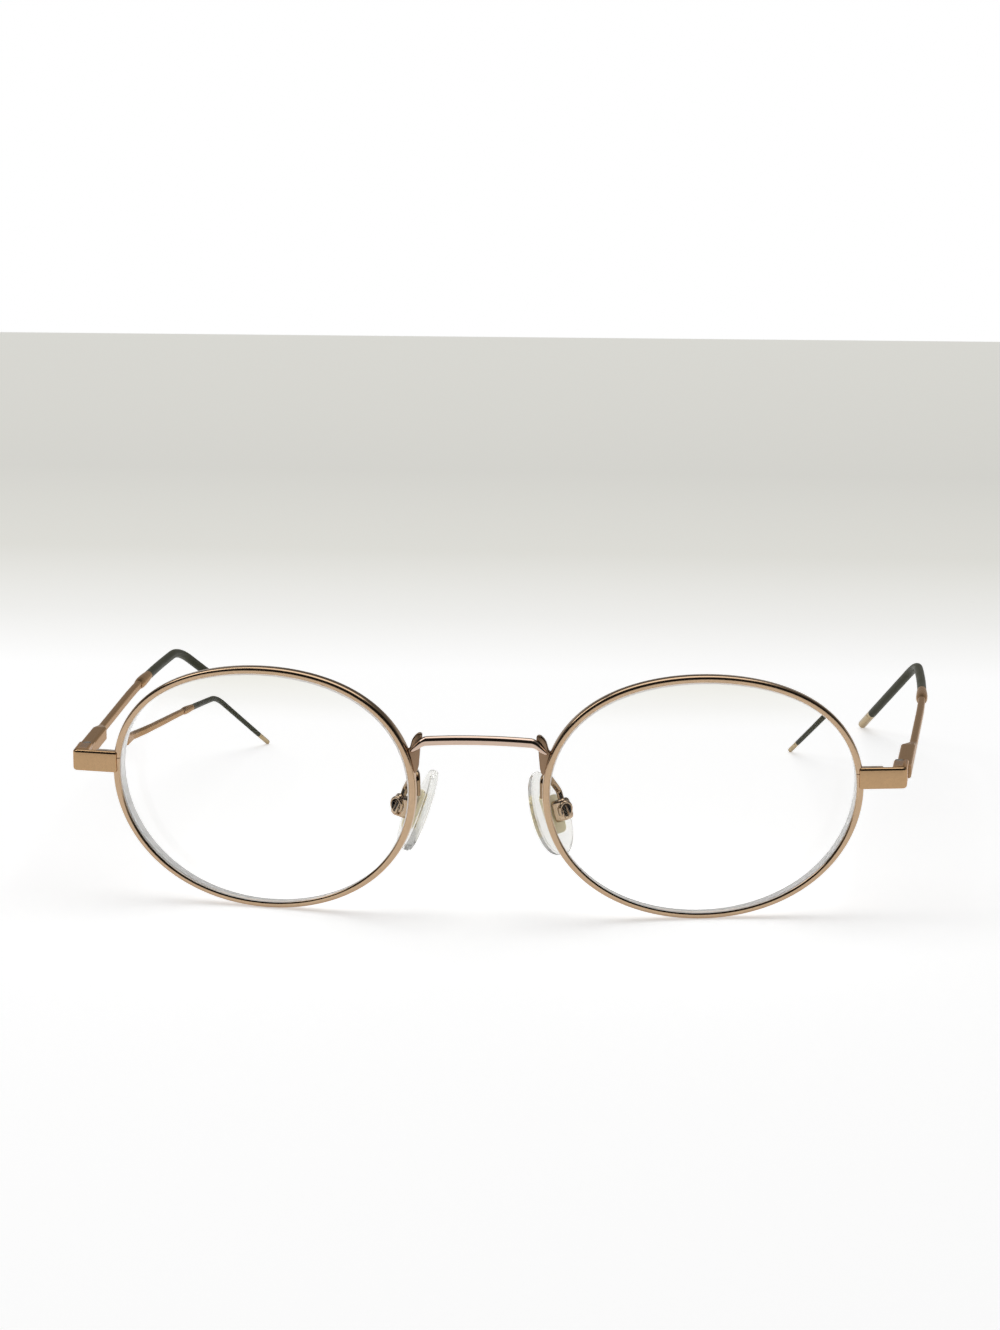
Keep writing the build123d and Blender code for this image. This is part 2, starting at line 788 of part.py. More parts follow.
def build_side(side, pad_splay, tip_drop):
    """Return one side's pieces by name, mirrored for the right."""
    whole_rim = build_whole_rim()
    bow, bend = temple_bends(tip_drop)
    corner = build_corner()
    upper, lower = build_blocks(whole_rim)
    leaf = build_leaf()
    place = pad_place(pad_splay)
    box = build_box(place)
    pieces = {
        "rim": split_rim(whole_rim),
        "lens": build_lens(),
        "endpiece": build_endpiece(corner, whole_rim),
        "hinge_front": build_fork(corner),
        "hinge_rear": leaf,
        "hinge_screw": build_hinge_screw(),
        "closing_block_upper": upper,
        "closing_block_lower": lower,
        "rim_screw": build_rim_screw(),
        "temple": build_temple(bow, bend, leaf),
        "temple_collar": build_collar(bow),
        "tip_sleeve": build_sleeve(bow, bend),
        "end_cap": build_cap(bend),
        "nose_pad": build_pad(place),
        "pad_insert": build_insert(place),
        "pad_box": box,
        "pad_screw": build_pad_screw(place),
        "pad_arm": build_pad_arm(place, whole_rim, box),
    }
    if side == "right":
        pieces = {name: mirror(piece, about=Plane.YZ) for name, piece in pieces.items()}
    return {f"{name}_{side}": piece for name, piece in pieces.items()}


def build_all():
    """Return every piece by name, moved so that the origin is the middle of the footprint."""
    ground = build_whole_rim().bounding_box().min.Z
    tip_drop = settle_tip(ground)
    print("tip drop", round(tip_drop, 3))
    pieces = build_side("left", left_pad_splay_angle, tip_drop)
    pieces.update(build_side("right", right_pad_splay_angle, tip_drop))
    left = rim_prism()
    pieces["bridge"] = build_bridge([left, mirror(left, about=Plane.YZ)])
    boxes = [piece.bounding_box() for piece in pieces.values()]
    front = min(box.min.Y for box in boxes)
    rear = max(box.max.Y for box in boxes)
    floor = min(box.min.Z for box in boxes)
    shift = Pos(0, -(front + rear) / 2, -floor)
    print("shift", shift.position, "length", rear - front)
    print("width", max(box.max.X for box in boxes) - min(box.min.X for box in boxes))
    print("hinge axis", (shift * hinge_place() * Pos(0, 0, plate_middle)).position)
    for splay_angle in (left_pad_splay_angle, right_pad_splay_angle):
        screw = shift * pad_place(splay_angle) * Pos(box_centre_x(), 0, 0)
        print("pad screw", screw.position, "axis", (screw * Pos(0, 1, 0)).position - screw.position)
    point, direction = temple_bends(tip_drop)[1].at(bend_length)
    for distance in (tip_length, tip_length - cap_length):
        spot = shift * temple_place() * Pos(*(point + direction * distance))
        print("tip at", distance, spot.position)
    return {name: shift * piece for name, piece in pieces.items()}


os.makedirs("parts", exist_ok=True)
for node, solid in build_all().items():
    export_step(solid, f"parts/{node}.step")
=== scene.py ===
"""Oval metal eyeglasses standing open on a pale studio floor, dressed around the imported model."""

import json
import logging
import math
from dataclasses import dataclass, field, fields
from enum import Enum
from typing import Sequence

import bmesh
import bpy
from mathutils import Matrix, Vector

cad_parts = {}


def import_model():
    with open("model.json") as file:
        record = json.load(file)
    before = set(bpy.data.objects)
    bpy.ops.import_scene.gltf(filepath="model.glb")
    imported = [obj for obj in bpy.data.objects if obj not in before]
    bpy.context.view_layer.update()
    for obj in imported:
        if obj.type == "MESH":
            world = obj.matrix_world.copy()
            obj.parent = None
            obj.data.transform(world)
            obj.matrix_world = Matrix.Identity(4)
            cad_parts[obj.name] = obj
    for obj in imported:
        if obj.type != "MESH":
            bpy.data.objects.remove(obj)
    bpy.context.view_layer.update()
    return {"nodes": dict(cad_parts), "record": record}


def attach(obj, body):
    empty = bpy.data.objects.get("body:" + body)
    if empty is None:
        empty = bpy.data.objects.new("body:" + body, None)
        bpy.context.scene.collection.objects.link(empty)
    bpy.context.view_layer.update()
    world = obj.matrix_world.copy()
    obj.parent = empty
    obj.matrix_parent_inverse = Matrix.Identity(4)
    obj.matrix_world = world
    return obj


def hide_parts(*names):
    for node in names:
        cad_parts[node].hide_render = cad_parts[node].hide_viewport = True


LOG = logging.getLogger("eyeglasses")
MM = 0.001
# Pieces are drawn in millimetres, from the middle of the nose and the foot of the rims.
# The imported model's own zero is this far from there.
FRAME_SHIFT = Vector((0.0, -76.4424, 0.175078))
# The made surface's cloud and grain are noise about a mean of one half.
CLOUD_SCALE = 180.0
CLOUD_DETAIL = 4.0
CLOUD_ROUGHNESS = 0.6
GRAIN_DETAIL = 3.0
NOISE_MEAN = 0.5
GRAIN_DEPTH = 0.02 * MM
# An inset outline runs out no further than this share allows where its corner is sharp.
SHARPEST_MITRE = 0.3
Colour = tuple[float, float, float]
Place = tuple[float, float, float]
Stops = tuple[tuple[float, float], ...]


class Side(Enum):
    """The wearer's side of a piece."""

    LEFT = "left"
    RIGHT = "right"

    @property
    def sign(self) -> int:
        """Return +1 for the wearer's left, which is at +X, and -1 for the right."""
        return 1 if self is Side.LEFT else -1


class Wrap(Enum):
    """Which way the fine lines of a metal finish run."""

    LONG = (1.0, 0.08, 1.0)
    EVEN = (1.0, 1.0, 1.0)


class NodeTree:
    """A short way to place nodes in a material or a node group."""

    def __init__(self, tree: bpy.types.NodeTree) -> None:
        """Keep the tree that nodes are placed in.

        Args:
            tree: the node tree of a material, world or group.
        """
        self.tree = tree

    def add(self, kind: str, settings: dict | None = None, **inputs: object) -> bpy.types.Node:
        """Place a node, set its properties and fill its inputs.

        Args:
            kind: the node's type name.
            settings: property names and values of the node.
            inputs: values or output sockets by input name, with _ for a space.

        Returns:
            The new node.
        """
        node = self.tree.nodes.new(kind)
        for name, value in (settings or {}).items():
            setattr(node, name, value)
        for name, value in inputs.items():
            self.fill(node, name.replace("_", " "), value)
        return node

    def fill(self, node: bpy.types.Node, name: str | int, value: object) -> None:
        """Give an input a value, or link an output socket to it.

        Args:
            node: the node that has the input.
            name: the input's name or number.
            value: a plain value or an output socket.
        """
        if isinstance(value, bpy.types.NodeSocket):
            self.tree.links.new(value, node.inputs[name])
        else:
            node.inputs[name].default_value = value

    def math(self, operation: str, *values: object) -> bpy.types.NodeSocket:
        """Place a math node.

        Args:
            operation: what it works out.
            *values: its plain values or output sockets, in order.

        Returns:
            Its output socket.
        """
        node = self.add("ShaderNodeMath", {"operation": operation})
        for number, value in enumerate(values):
            self.fill(node, number, value)
        return node.outputs[0]

    def mix_shaders(
        self, share: bpy.types.NodeSocket, first: bpy.types.Node, second: bpy.types.Node
    ) -> bpy.types.NodeSocket:
        """Mix two shader nodes.

        Args:
            share: the second shader's share.
            first: the first shader.
            second: the second shader.

        Returns:
            The mixed shader's socket.
        """
        node = self.add("ShaderNodeMixShader", Fac=share)
        self.fill(node, 1, first.outputs[0])
        self.fill(node, 2, second.outputs[0])
        return node.outputs[0]


def new_group(
    name: str, takes: Sequence[tuple[str, str, float]], gives: Sequence[tuple[str, str]]
) -> NodeTree:
    """Make an empty shader node group with named inputs and outputs.

    Args:
        name: the group's name.
        takes: name, socket type and default of each input.
        gives: name and socket type of each output.

    Returns:
        The group's tree, with its input and output nodes named In and Out.
    """
    group = bpy.data.node_groups.new(name, "ShaderNodeTree")
    for label, kind, default in takes:
        socket = group.interface.new_socket(label, in_out="INPUT", socket_type=kind)
        socket.default_value = default
    for label, kind in gives:
        group.interface.new_socket(label, in_out="OUTPUT", socket_type=kind)
    tree = NodeTree(group)
    tree.add("NodeGroupInput", {"name": "In"})
    tree.add("NodeGroupOutput", {"name": "Out"})
    return tree


def build_surface_group() -> bpy.types.NodeTree:
    """Build the shared effect of a made surface: cloudy tone, fine lines and a little wear.

    Returns:
        The node group, which puts out a tone, a roughness and a height.
    """
    number = "NodeSocketFloat"
    tree = new_group(
        "made_surface",
        [
            ("Roughness", number, 0.3),
            ("Cloud", number, 0.1),
            ("Line", number, 0.1),
            ("Grain Scale", number, 2500.0),
            ("Along X", number, 1.0),
            ("Along Y", number, 1.0),
            ("Along Z", number, 1.0),
        ],
        [("Tone", number), ("Roughness", number), ("Height", number)],
    )
    given = tree.tree.nodes["In"].outputs
    place = tree.add("ShaderNodeTexCoord").outputs["Object"]
    stretch = tree.add("ShaderNodeCombineXYZ", X=given["Along X"], Y=given["Along Y"], Z=given["Along Z"])
    along = tree.add("ShaderNodeVectorMath", {"operation": "MULTIPLY"})
    tree.fill(along, 0, place)
    tree.fill(along, 1, stretch.outputs[0])
    grain = tree.add("ShaderNodeTexNoise", Vector=along.outputs[0], Scale=given["Grain Scale"])
    tree.fill(grain, "Detail", GRAIN_DETAIL)
    cloud = tree.add("ShaderNodeTexNoise", Vector=place, Scale=CLOUD_SCALE, Detail=CLOUD_DETAIL)
    tree.fill(cloud, "Roughness", CLOUD_ROUGHNESS)
    centred_cloud = tree.math("SUBTRACT", cloud.outputs["Fac"], NOISE_MEAN)
    centred_grain = tree.math("SUBTRACT", grain.outputs["Fac"], NOISE_MEAN)
    cloudy = tree.math("MULTIPLY_ADD", centred_cloud, given["Cloud"], 1.0)
    tone = tree.math("MULTIPLY_ADD", centred_grain, given["Line"], cloudy)
    out = tree.tree.nodes["Out"]
    tree.fill(out, "Tone", tone)
    tree.fill(out, "Roughness", tree.math("MULTIPLY", given["Roughness"], tone))
    tree.fill(out, "Height", grain.outputs["Fac"])
    return tree.tree


def new_material(name: str) -> tuple[bpy.types.Material, NodeTree, bpy.types.Node]:
    """Make an empty node material.

    Args:
        name: the material's name.

    Returns:
        The material, its tree and its output node.
    """
    material = bpy.data.materials.new(name)
    material.use_nodes = True
    material.node_tree.nodes.clear()
    tree = NodeTree(material.node_tree)
    return material, tree, tree.add("ShaderNodeOutputMaterial")


@dataclass(frozen=True)
class Finish:
    """An opaque finish: plated metal, moulded plastic or plain steel."""

    name: str
    slot: str
    colour: Colour
    metallic: float
    roughness: float
    cloud: float = 0.1
    line: float = 0.1
    grain_scale: float = 2500.0
    wrap: Wrap = Wrap.EVEN
    bump: float = 0.02
    specular: float = 0.5
    tint: Colour = (1.0, 1.0, 1.0)

    def build(self, surface: bpy.types.NodeTree) -> bpy.types.Material:
        """Make the material.

        Args:
            surface: the shared group for tone, roughness and height.

        Returns:
            The material.
        """
        material, tree, out = new_material(self.name)
        worked = tree.add("ShaderNodeGroup", {"node_tree": surface})
        along = dict(zip(("Along X", "Along Y", "Along Z"), self.wrap.value))
        wanted = {"Roughness": self.roughness, "Cloud": self.cloud, "Line": self.line, **along}
        wanted["Grain Scale"] = self.grain_scale
        for label, value in wanted.items():
            tree.fill(worked, label, value)
        toned = tree.add("ShaderNodeVectorMath", {"operation": "SCALE"})
        tree.fill(toned, 0, self.colour)
        tree.fill(toned, "Scale", worked.outputs["Tone"])
        bump = tree.add("ShaderNodeBump", Strength=self.bump, Distance=GRAIN_DEPTH)
        tree.fill(bump, "Height", worked.outputs["Height"])
        skin = tree.add("ShaderNodeBsdfPrincipled", Metallic=self.metallic)
        tree.fill(skin, "Base Color", toned.outputs[0])
        tree.fill(skin, "Roughness", worked.outputs["Roughness"])
        tree.fill(skin, "Normal", bump.outputs[0])
        tree.fill(skin, "Specular IOR Level", self.specular)
        tree.fill(skin, "Specular Tint", (*self.tint, 1.0))
        tree.fill(out, "Surface", skin.outputs[0])
        return material


@dataclass(frozen=True)
class ClearFinish:
    """A clear finish, which lets the light of the lamps through."""

    name: str
    slot: str
    colour: Colour
    ior: float
    roughness: float
    specular: float
    shade: Colour
    smear: float = 0.3
    clear: float = 1.0
    mirror: float = 1.0

    def build(self, surface: bpy.types.NodeTree) -> bpy.types.Material:
        """Make the material.

        Args:
            surface: the shared group for tone, roughness and height.

        Returns:
            The material.
        """
        material, tree, out = new_material(self.name)
        body = tree.add("ShaderNodeBsdfPrincipled", IOR=self.ior)
        tree.fill(body, "Base Color", (*self.colour, 1.0))
        if self.smear:
            worked = tree.add("ShaderNodeGroup", {"node_tree": surface})
            for label, value in {"Roughness": self.roughness, "Cloud": self.smear, "Line": 0.0}.items():
                tree.fill(worked, label, value)
            tree.fill(body, "Roughness", worked.outputs["Roughness"])
        else:
            tree.fill(body, "Roughness", self.roughness)
        tree.fill(body, "Transmission Weight", self.clear)
        tree.fill(body, "Specular IOR Level", self.specular)
        tree.fill(body, "Specular Tint", (self.mirror, self.mirror, self.mirror, 1.0))
        passing = tree.add("ShaderNodeBsdfTransparent")
        tree.fill(passing, "Color", (*self.shade, 1.0))
        path = tree.add("ShaderNodeLightPath").outputs
        mirrored = tree.math("SUBTRACT", path["Is Glossy Ray"], path["Is Transmission Ray"])
        passed = tree.math("MAXIMUM", path["Is Shadow Ray"], mirrored)
        tree.fill(out, "Surface", tree.mix_shaders(passed, body, passing))
        return material


@dataclass(frozen=True)
class Finishes:
    """Every finish on the eyeglasses."""

    rose: Finish = Finish(
        "satin_rose_plate", "satin_rose_metal", (0.52, 0.365, 0.235), 1.0, 0.16, line=0.14, wrap=Wrap.LONG
    )
    plate: Finish = Finish(
        "satin_rose_plate_endpiece", "satin_rose_metal", (0.475, 0.305, 0.165), 1.0, 0.17,
        line=0.2, wrap=Wrap.LONG, tint=(0.80, 0.62, 0.48),
    )
    polished: Finish = Finish(
        "polished_rose_plate", "polished_rose_metal", (0.60, 0.45, 0.36), 1.0, 0.06, line=0.04
    )
    # Painted shade: a darker copy of the polished rose metal, for the bridge's fins.
    shaded: Finish = Finish(
        "aged_rose_plate", "polished_rose_metal", (0.27, 0.175, 0.11), 1.0, 0.22, line=0.05
    )
    temple: Finish = Finish(
        "satin_temple_plate", "temple_metal", (0.40, 0.262, 0.15), 1.0, 0.26,
        line=0.14, wrap=Wrap.LONG, tint=(0.80, 0.64, 0.50),
    )
    gold: Finish = Finish("satin_gold_plate", "cap_gold_metal", (0.42, 0.31, 0.16), 1.0, 0.26, line=0.1)
    wire: Finish = Finish("bright_wire_plate", "pad_arm_metal", (0.30, 0.205, 0.12), 1.0, 0.12, line=0.05)
    # Painted highlight: a lighter copy of the pad arm's metal, for the clamp boxes and the lip of each eye.
    clasp: Finish = Finish("bright_clasp_plate", "pad_arm_metal", (0.50, 0.37, 0.25), 1.0, 0.14, line=0.05)
    # Painted highlight: a pale copy of the pad arm's metal on each eye's domed pin.
    pin: Finish = Finish("worn_pin_plate", "pad_arm_metal", (0.95, 0.80, 0.64), 0.7, 0.42, cloud=0.2)
    # Painted shade: a near-black copy of the pad arm's metal inside each eye's cup.
    recess: Finish = Finish("shadowed_recess", "pad_arm_metal", (0.035, 0.024, 0.016), 1.0, 0.4)
    steel: Finish = Finish("screw_steel_bright", "screw_steel", (0.36, 0.30, 0.22), 1.0, 0.25)
    sleeve: Finish = Finish(
        "dark_green_acetate", "sleeve_dark_green", (0.046, 0.046, 0.017), 0.0, 0.36,
        cloud=0.5, specular=0.05,
    )
    cream: Finish = Finish("cream_moulding", "insert_cream", (0.97, 0.88, 0.60), 0.0, 0.4, cloud=0.08)
    lens: ClearFinish = ClearFinish(
        "clear_lens", "lens_clear", (1.0, 1.0, 0.998), 1.6, 0.0, 0.02, (0.985, 0.99, 0.987),
        smear=0.0, mirror=0.15,
    )
    ground: ClearFinish = ClearFinish(
        "ground_lens_edge", "lens_clear", (1.0, 0.985, 0.965), 1.15, 0.4, 0.3, (0.95, 0.95, 0.95),
        clear=0.5,
    )
    pad: ClearFinish = ClearFinish(
        "clear_soft_pad", "pad_clear", (0.985, 0.98, 0.955), 1.18, 0.06, 0.5, (0.93, 0.93, 0.91),
        clear=0.85,
    )


@dataclass
class SubAssembly:
    """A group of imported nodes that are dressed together."""

    nodes: dict[str, bpy.types.Object]
    bodies: dict[str, list[str]]
    finishes: Finishes
    materials: dict[str, bpy.types.Material]

    def dress(self, piece: str, finish: str) -> None:
        """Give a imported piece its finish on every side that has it.

        Args:
            piece: the node's name, or its name without the side.
            finish: the finish's name.
        """
        wanted = [name for name in self.nodes if name == piece or name.rsplit("_", 1)[0] == piece]
        for name in wanted:
            for place in self.nodes[name].material_slots:
                place.material = self.materials[finish]
        LOG.info("dressed %s in %s", ", ".join(wanted), finish)

    def body(self, name: str) -> str:
        """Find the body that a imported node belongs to.

        Args:
            name: the node's name.

        Returns:
            The body's name.
        """
        return next(body for body, held in self.bodies.items() if name in held)

    def add(self, name: str, mesh: bpy.types.Mesh, finish: str, node: str, *replaced: str) -> None:
        """Put a new mesh into the scene, with its finish, on the body that a node rides.

        Args:
            name: the new piece's name.
            mesh: the mesh, in metres in the row's frame.
            finish: the name of the finish that it takes where it has none yet.
            node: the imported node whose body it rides.
            *replaced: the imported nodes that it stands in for.
        """
        if not mesh.materials:
            mesh.materials.append(self.materials[finish])
        piece = place_object(name, mesh)
        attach(piece, self.body(node))
        getattr(self.finishes, finish).slot
        if replaced:
            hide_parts(*replaced)
        LOG.info("built %s with %d faces for %s", name, len(mesh.polygons), ", ".join(replaced) or node)


def place_object(name: str, data: bpy.types.ID) -> bpy.types.Object:
    """Put a new object into the scene.

    Args:
        name: the object's name.
        data: its mesh, lamp or camera.

    Returns:
        The object.
    """
    placed = bpy.data.objects.new(name, data)
    bpy.context.scene.collection.objects.link(placed)
    return placed


def finish_mesh(shell: bmesh.types.BMesh, name: str, side: Side, sharp: float = 35.0) -> bpy.types.Mesh:
    """Finish a left piece drawn in millimetres: set it on its side of the model and shade it.

    Args:
        shell: the mesh under construction, which is freed.
        name: the new mesh's name.
        side: the side that the piece is for.
        sharp: the angle in degrees over which an edge stays sharp.

    Returns:
        The finished mesh, in metres.
    """
    for vertex in shell.verts:
        place = (vertex.co + FRAME_SHIFT) * MM
        vertex.co = Vector((place.x * side.sign, place.y, place.z))
    bmesh.ops.recalc_face_normals(shell, faces=shell.faces)
    for edge in shell.edges:
        edge.smooth = len(edge.link_faces) == 2 and edge.calc_face_angle(0.0) < math.radians(sharp)
    for face in shell.faces:
        face.smooth = True
    mesh = bpy.data.meshes.new(name)
    shell.to_mesh(mesh)
    shell.free()
    return mesh


def skin_rings(rings: Sequence[Sequence[Vector]]) -> bmesh.types.BMesh:
    """Cover a row of closed rings of equal count with faces, and cap both ends.

    Args:
        rings: each ring's points, in millimetres.

    Returns:
        The mesh under construction.
    """
    shell = bmesh.new()
    rows = [[shell.verts.new(point) for point in ring] for ring in rings]
    count = len(rows[0])
    for first, second in zip(rows, rows[1:]):
        for index in range(count):
            after = (index + 1) % count
            shell.faces.new((first[index], first[after], second[after], second[index]))
    shell.faces.new(rows[0])
    shell.faces.new(rows[-1][::-1])
    return shell


def inset_ring(outline: Sequence[Vector], inset: float) -> list[Vector]:
    """Move a plan outline inward.

    Args:
        outline: the outline's plan points, anticlockwise.
        inset: the distance to move it inward.

    Returns:
        The moved points.
    """
    moved = []
    for index, point in enumerate(outline):
        before = (point - outline[index - 1]).normalized()
        after = (outline[(index + 1) % len(outline)] - point).normalized()
        middle = (Vector((-before.y, before.x)) + Vector((-after.y, after.x))).normalized()
        stretch = max(middle.dot(Vector((-before.y, before.x))), SHARPEST_MITRE)
        moved.append(point + middle * (inset / stretch))
    return moved


def round_corner(before: Vector, corner: Vector, after: Vector, radius: float, steps: int) -> list[Vector]:
    """Round a plan corner to a radius.

    Args:
        before: the outline's point before the corner.
        corner: the corner itself.
        after: the outline's point after it.
        radius: the rounding's radius, or zero for a sharp corner.
        steps: how many steps the rounding has.

    Returns:
        The rounded corner's points, in the outline's order.
    """
    if not radius:
        return [corner]
    back = (before - corner).normalized()
    on = (after - corner).normalized()
    half = back.angle(on) / 2
    reach = radius / math.tan(half)
    centre = corner + (back + on).normalized() * (radius / math.sin(half))
    first = corner + back * reach - centre
    turn = first.angle_signed(corner + on * reach - centre)
    return [centre + Matrix.Rotation(-turn * step / steps, 2) @ first for step in range(steps + 1)]


def quarter_round(radius: float, steps: int) -> list[tuple[float, float]]:
    """Draw a rounded edge as a quarter circle, from the flat face to the side.

    Args:
        radius: the rounding's radius.
        steps: how many steps it has.

    Returns:
        Pairs of the inset from the side and the drop from the face.
    """
    turns = [math.radians(90 * step / steps) for step in range(steps + 1)]
    return [(radius * (1 - math.sin(turn)), radius * (1 - math.cos(turn))) for turn in turns]


def full_circle(steps: int) -> list[tuple[float, float]]:
    """Return the cosine and sine of each step round a circle, one pair for each of the steps."""
    turns = [math.tau * step / steps for step in range(steps)]
    return [(math.cos(turn), math.sin(turn)) for turn in turns]


def rounded_slab(
    outline: Sequence[Vector], low: float, high: float, radius: float, steps: int
) -> bmesh.types.BMesh:
    """Build an upright slab on a plan outline, with its top and bottom edges rounded.

    Args:
        outline: the plan outline, anticlockwise.
        low: the height of its underside.
        high: the height of its top.
        radius: the radius of the rounded edges.
        steps: how many steps each rounding has.

    Returns:
        The mesh under construction.
    """
    levels = [(inset, low + drop) for inset, drop in quarter_round(radius, steps)]
    levels += [(inset, low + high - height) for inset, height in reversed(levels)]
    rings = []
    for inset, height in levels:
        rings.append([Vector((point.x, point.y, height)) for point in inset_ring(outline, inset)])
    return skin_rings(rings)


def cut_away(mesh: bpy.types.Mesh, cutters: Sequence[bpy.types.Mesh]) -> bpy.types.Mesh:
    """Cut meshes out of a mesh.

    Args:
        mesh: the mesh that is cut.
        cutters: the closed meshes to take away.

    Returns:
        The cut mesh.
    """
    block = place_object("block", mesh)
    tools = []
    for cutter in cutters:
        tool = place_object("tool", cutter)
        step = block.modifiers.new("cut", "BOOLEAN")
        step.operation = "DIFFERENCE"
        step.object = tool
        tools.append(tool)
    ready = block.evaluated_get(bpy.context.evaluated_depsgraph_get())
    result = bpy.data.meshes.new_from_object(ready)
    result.name = mesh.name
    for thing in (block, *tools):
        bpy.data.objects.remove(thing)
    return result


@dataclass(frozen=True)
class RimPlace:
    """Where the left rim stands, with the sizes that set it."""

    width: float = 48.2
    height: float = 38.8
    spacing: float = 19.0
    wrap: float = math.radians(10.3)
    tilt: float = math.radians(6.0)
    level_share: float = 0.5637

    @property
    def level(self) -> float:
        """Return the height of the middle of the endpieces."""
        return self.height * math.cos(self.tilt) * self.level_share

    @property
    def outward(self) -> Vector:
        """Return the direction along the rim, away from the nose."""
        return Vector((math.cos(self.wrap), math.sin(self.wrap), 0.0))

    @property
    def rise(self) -> Vector:
        """Return the direction up the rim."""
        rise = Vector((0.0, -math.sin(self.tilt), math.cos(self.tilt)))
        return (rise - self.outward * self.outward.dot(rise)).normalized()

    @property
    def forward(self) -> Vector:
        """Return the direction square out of the rim's front."""
        return self.outward.cross(self.rise)

    @property
    def middle(self) -> Vector:
        """Return the middle of the rim's front."""
        half = self.width / 2
        return Vector((
            self.spacing / 2 + half * math.cos(self.wrap),
            half * math.sin(self.wrap),
            self.height / 2 * math.cos(self.tilt),
        ))

    def depth_at(self, x: float, z: float, depth: float = 0.0) -> float:
        """Find how far back the rim is at a place.

        Args:
            x: the distance from the nose's middle.
            z: the height.
            depth: how deep behind the rim's front.

        Returns:
            The distance back.
        """
        away = self.forward.x * (x - self.middle.x) + self.forward.z * (z - self.middle.z)
        return self.middle.y - (away + depth) / self.forward.y

    @property
    def edge(self) -> Vector:
        """Return the plan point at the rim's outer edge, level with the endpiece."""
        x = self.spacing / 2 + self.width * math.cos(self.wrap)
        return Vector((x, self.depth_at(x, self.level)))


@dataclass
class Rims(SubAssembly):
    """The two oval rims, each one wire with a V groove, with the blocks that close them."""

    place: RimPlace = RimPlace()
    shoulder: float = 0.36
    egg: float = 0.56
    roll: float = math.radians(1.4)
    face: float = 1.05
    depth: float = 1.8
    outer_radius: float = 0.54
    inner_radius: float = 0.42
    groove_depth: float = 0.45
    groove_width: float = 0.9
    slit: float = 0.12
    sections: int = 220
    corner_steps: int = 5

    def build(self) -> None:
        """Build both rims and dress what closes them."""
        for side in Side:
            self.build_rim(side)
        self.dress("closing_block_upper", "rose")
        self.dress("closing_block_lower", "rose")
        self.dress("rim_screw", "steel")

    def oval(self, angle: float) -> tuple[Vector, Vector]:
        """Find a point of the oval in the rim's plane.

        Args:
            angle: the angle round the oval, in radians.

        Returns:
            The point and its inward normal.
        """
        half_width, half_height = self.place.width / 2, self.place.height / 2
        x = half_width * math.cos(angle)
        y = half_height * math.sin(angle)
        y += self.shoulder * math.sin(3 * angle) + self.egg * math.cos(2 * angle)
        climb = half_height * math.cos(angle)
        climb += 3 * self.shoulder * math.cos(3 * angle) - 2 * self.egg * math.sin(2 * angle)
        slope = Vector((-half_width * math.sin(angle), climb)).normalized()
        turn = Matrix.Rotation(-self.roll, 2)
        return turn @ Vector((x, y)), turn @ Vector((-slope.y, slope.x))

    def section(self) -> list[tuple[float, float]]:
        """Draw the wire's section, from its outer front corner round.

        Returns:
            Pairs of the inset from the outer edge and the height over the rim's front.
        """
        outer = quarter_round(self.outer_radius, self.corner_steps)
        inner = quarter_round(self.inner_radius, self.corner_steps)
        front = [(inset, -drop) for inset, drop in reversed(outer)]
        front += [(self.face - inset, -drop) for inset, drop in inner]
        back, groove = -self.depth, self.groove_width / 2
        rear = [(inset, back - height) for inset, height in reversed(front)]
        middle = [
            (self.face, back / 2 + groove),
            (self.face - self.groove_depth, back / 2),
            (self.face, back / 2 - groove),
        ]
        return front + middle + rear

    def build_rim(self, side: Side) -> None:
        """Sweep the wire's section round one oval, leaving the slit open.

        Args:
            side: the side that the rim is on.
        """
        place = self.place
        across, up, forward = place.outward, place.rise, place.forward
        slit_angle = math.asin((place.level - place.middle.z) / (place.height / 2)) + self.roll
        half_gap = self.slit / place.height
        start, end = slit_angle + half_gap, slit_angle + math.tau - half_gap
        section = self.section()
        rings = []
        for step in range(self.sections + 1):
            point, inward = self.oval(start + (end - start) * step / self.sections)
            ring = []
            for inset, height in section:
                flat = point + inward * inset
                ring.append(place.middle + across * flat.x + up * flat.y + forward * height)
            rings.append(ring)
        mesh = finish_mesh(skin_rings(rings), f"rim_wire_{side.value}", side)
        node = f"rim_{side.value}"
        self.add(f"rim_wire_{side.value}", mesh, "rose", node, node)


